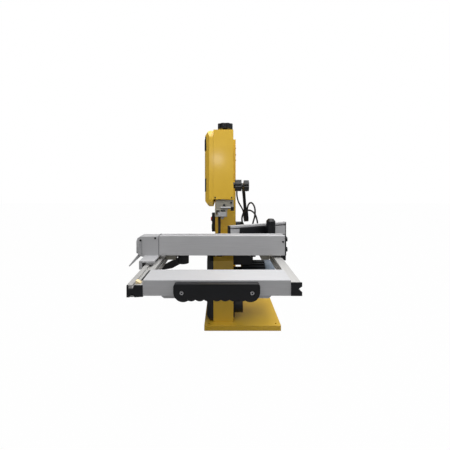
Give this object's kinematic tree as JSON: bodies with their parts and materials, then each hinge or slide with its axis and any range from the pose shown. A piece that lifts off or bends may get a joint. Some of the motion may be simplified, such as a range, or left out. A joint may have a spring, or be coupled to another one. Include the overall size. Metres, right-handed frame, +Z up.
{
  "type": "band saw",
  "caption": "Benchtop band saw with a folded steel frame, two wheel doors, a tilting table with a pull-out side support, a rip fence and a mitre gauge.",
  "frame": {"origin": "centre of the base plate's underside, at the middle of its bolt pattern", "axes": "+X towards the machine's right (blade side and table extension), +Y towards its rear (motor side), +Z up"},
  "size_m": [0.816, 0.5897, 0.843],
  "materials": {
    "yellow_enamel": "gloss",
    "black_enamel": "satin",
    "black_plastic": "matte",
    "alloy": "satin",
    "steel": "satin",
    "cast_grey": "satin",
    "tyre_rubber": "matte",
    "cord_pvc": "satin",
    "green_plastic": "gloss",
    "red_plastic": "gloss",
    "cream_plastic": "gloss",
    "motor_grey": "satin",
    "dark_steel": "satin"
  },
  "bodies": {
    "frame": {"base_plate": "yellow_enamel", "frame_spine": "yellow_enamel", "upper_wheel_housing": "yellow_enamel", "lower_wheel_housing": "yellow_enamel", "frame_fasteners": "steel", "drive_belt": "tyre_rubber", "lower_fittings": "steel", "blade": "dark_steel", "motor_body": "motor_grey", "motor_end_cover": "motor_grey", "terminal_box": "black_plastic", "dust_port": "black_plastic", "switch_housing": "black_plastic", "trunnion_base": "cast_grey", "cord_hooks": "black_plastic", "power_cord": "cord_pvc", "cord_hank": "cord_pvc", "plug": "cord_pvc", "strain_relief": "cord_pvc"},
    "upper_door": {"upper_door": "yellow_enamel"},
    "lower_door": {"lower_door": "black_enamel"},
    "upper_door_latch": {"upper_door_latch": "black_plastic"},
    "lower_door_latch": {"lower_door_latch": "black_plastic"},
    "tension_knob": {"tension_knob": "black_plastic"},
    "tension_block": {"tension_block": "cast_grey"},
    "upper_wheel": {"upper_wheel": "alloy", "upper_tyre": "tyre_rubber"},
    "lower_wheel": {"lower_wheel": "alloy", "lower_tyre": "tyre_rubber"},
    "motor_shaft": {"motor_pulley": "alloy"},
    "tracking_knob": {"tracking_knob": "black_plastic"},
    "green_button": {"green_button": "green_plastic"},
    "red_button": {"red_button": "red_plastic"},
    "guide": {"guide_post": "steel", "guide_bracket": "cast_grey", "guide_bearings": "steel"},
    "guide_screw": {"guide_screws": "black_plastic"},
    "guide_lock_knob": {"guide_lock_knob": "black_plastic"},
    "table": {"table_top": "alloy", "table_insert": "black_plastic", "carriers": "cast_grey", "trunnion_segment": "cast_grey"},
    "tilt_knob": {"tilt_knob": "black_plastic"},
    "extension": {"front_rail": "alloy", "rear_rail": "alloy", "rail_caps": "black_plastic", "end_bar": "alloy", "extension_handle": "black_plastic", "handle_screws": "steel", "pointer_piece": "cream_plastic"},
    "extension_lever": {"extension_lever": "black_plastic"},
    "fence": {"fence_bar": "alloy", "fence_head": "cast_grey", "fence_caps": "black_plastic", "fence_pin": "steel"},
    "fence_lever": {"fence_lever": "alloy"},
    "mitre_bar": {"mitre_bar": "steel"},
    "mitre_head": {"mitre_head": "black_plastic", "mitre_fence": "alloy"},
    "mitre_knob": {"mitre_knob": "black_plastic"}
  },
  "joints": [
    {"name": "upper_door_hinge", "type": "hinge", "parent": "frame", "child": "upper_door", "pos_m": [-0.171, -0.119, 0.64], "axis": [0, 0, -1], "range_deg": [0, 110]},
    {"name": "lower_door_hinge", "type": "hinge", "parent": "frame", "child": "lower_door", "pos_m": [-0.171, -0.119, 0.16], "axis": [0, 0, -1], "range_deg": [0, 110]},
    {"name": "upper_latch_turn", "type": "hinge", "parent": "upper_door", "child": "upper_door_latch", "pos_m": [0.115, -0.149, 0.732], "axis": [0, 1, 0], "range_deg": [0, 90]},
    {"name": "lower_latch_turn", "type": "hinge", "parent": "lower_door", "child": "lower_door_latch", "pos_m": [0.115, -0.141, 0.15], "axis": [0, 1, 0], "range_deg": [0, 90]},
    {"name": "tension_screw", "type": "hinge", "parent": "frame", "child": "tension_knob", "pos_m": [0.008, -0.066, 0.83], "axis": [0, 0, 1], "range_deg": [-1800, 0]},
    {"name": "tension_slide", "type": "slide", "parent": "frame", "child": "tension_block", "axis": [0, 0, 1], "range_m": [-0.0075, 0]},
    {"name": "upper_wheel_spin", "type": "hinge", "parent": "tension_block", "child": "upper_wheel", "pos_m": [0.008, -0.091, 0.651], "axis": [0, 1, 0], "continuous": true},
    {"name": "lower_wheel_spin", "type": "hinge", "parent": "frame", "child": "lower_wheel", "pos_m": [0.008, -0.091, 0.155], "axis": [0, 1, 0], "continuous": true},
    {"name": "motor_spin", "type": "hinge", "parent": "frame", "child": "motor_shaft", "pos_m": [0.075, -0.07, 0.172], "axis": [0, 1, 0], "continuous": true},
    {"name": "tracking_turn", "type": "hinge", "parent": "frame", "child": "tracking_knob", "pos_m": [0.008, -0.03, 0.562], "axis": [0, 1, 0], "range_deg": [-180, 180]},
    {"name": "green_press", "type": "slide", "parent": "frame", "child": "green_button", "axis": [0, 1, 0], "range_m": [0, 0.0035], "stiffness_N_per_m": 400},
    {"name": "red_press", "type": "slide", "parent": "frame", "child": "red_button", "axis": [0, 1, 0], "range_m": [0, 0.0035], "stiffness_N_per_m": 400},
    {"name": "guide_slide", "type": "slide", "parent": "frame", "child": "guide", "axis": [0, 0, 1], "range_m": [-0.09, 0]},
    {"name": "guide_screw_turn", "type": "hinge", "parent": "guide", "child": "guide_screw", "pos_m": [0.124, -0.04, 0.471], "axis": [0, 1, 0], "range_deg": [0, 180]},
    {"name": "guide_lock_turn", "type": "hinge", "parent": "frame", "child": "guide_lock_knob", "pos_m": [0.15, -0.02, 0.566], "axis": [0, 1, 0], "range_deg": [0, 180]},
    {"name": "table_tilt", "type": "hinge", "parent": "frame", "child": "table", "pos_m": [0.135, -0.05, 0.335], "axis": [0, 1, 0], "range_deg": [0, 35]},
    {"name": "tilt_lock_turn", "type": "hinge", "parent": "frame", "child": "tilt_knob", "pos_m": [0.07, -0.05, 0.299], "axis": [1, 0, 0], "range_deg": [0, 180]},
    {"name": "extension_slide", "type": "slide", "parent": "table", "child": "extension", "axis": [1, 0, 0], "range_m": [-0.105, 0]},
    {"name": "extension_lever_turn", "type": "hinge", "parent": "table", "child": "extension_lever", "pos_m": [0.265, -0.222, 0.293], "axis": [0, 0, 1], "range_deg": [0, 60]},
    {"name": "fence_slide", "type": "slide", "parent": "extension", "child": "fence", "axis": [-1, 0, 0], "range_m": [-0.135, 0.105]},
    {"name": "fence_lever_turn", "type": "hinge", "parent": "fence", "child": "fence_lever", "pos_m": [0.343, -0.354, 0.372], "axis": [-1, 0, 0], "range_deg": [0, 60]},
    {"name": "mitre_slide", "type": "slide", "parent": "table", "child": "mitre_bar", "axis": [0, 1, 0], "range_m": [0, 0.03]},
    {"name": "mitre_pivot", "type": "hinge", "parent": "mitre_bar", "child": "mitre_head", "pos_m": [0.173, 0.067, 0.34], "axis": [0, 0, -1], "range_deg": [-65, 0]},
    {"name": "mitre_knob_turn", "type": "hinge", "parent": "mitre_head", "child": "mitre_knob", "pos_m": [0.15646, 0.11666, 0.38], "axis": [0, 0, 1], "range_deg": [0, 180]}
  ],
  "couplings": [
    {"joint": "upper_wheel_spin", "follows": "lower_wheel_spin", "ratio": 1},
    {"joint": "motor_spin", "follows": "lower_wheel_spin", "ratio": 2.625},
    {"joint": "tension_screw", "follows": "tension_slide", "rad_per_m": 4188.8}
  ]
}
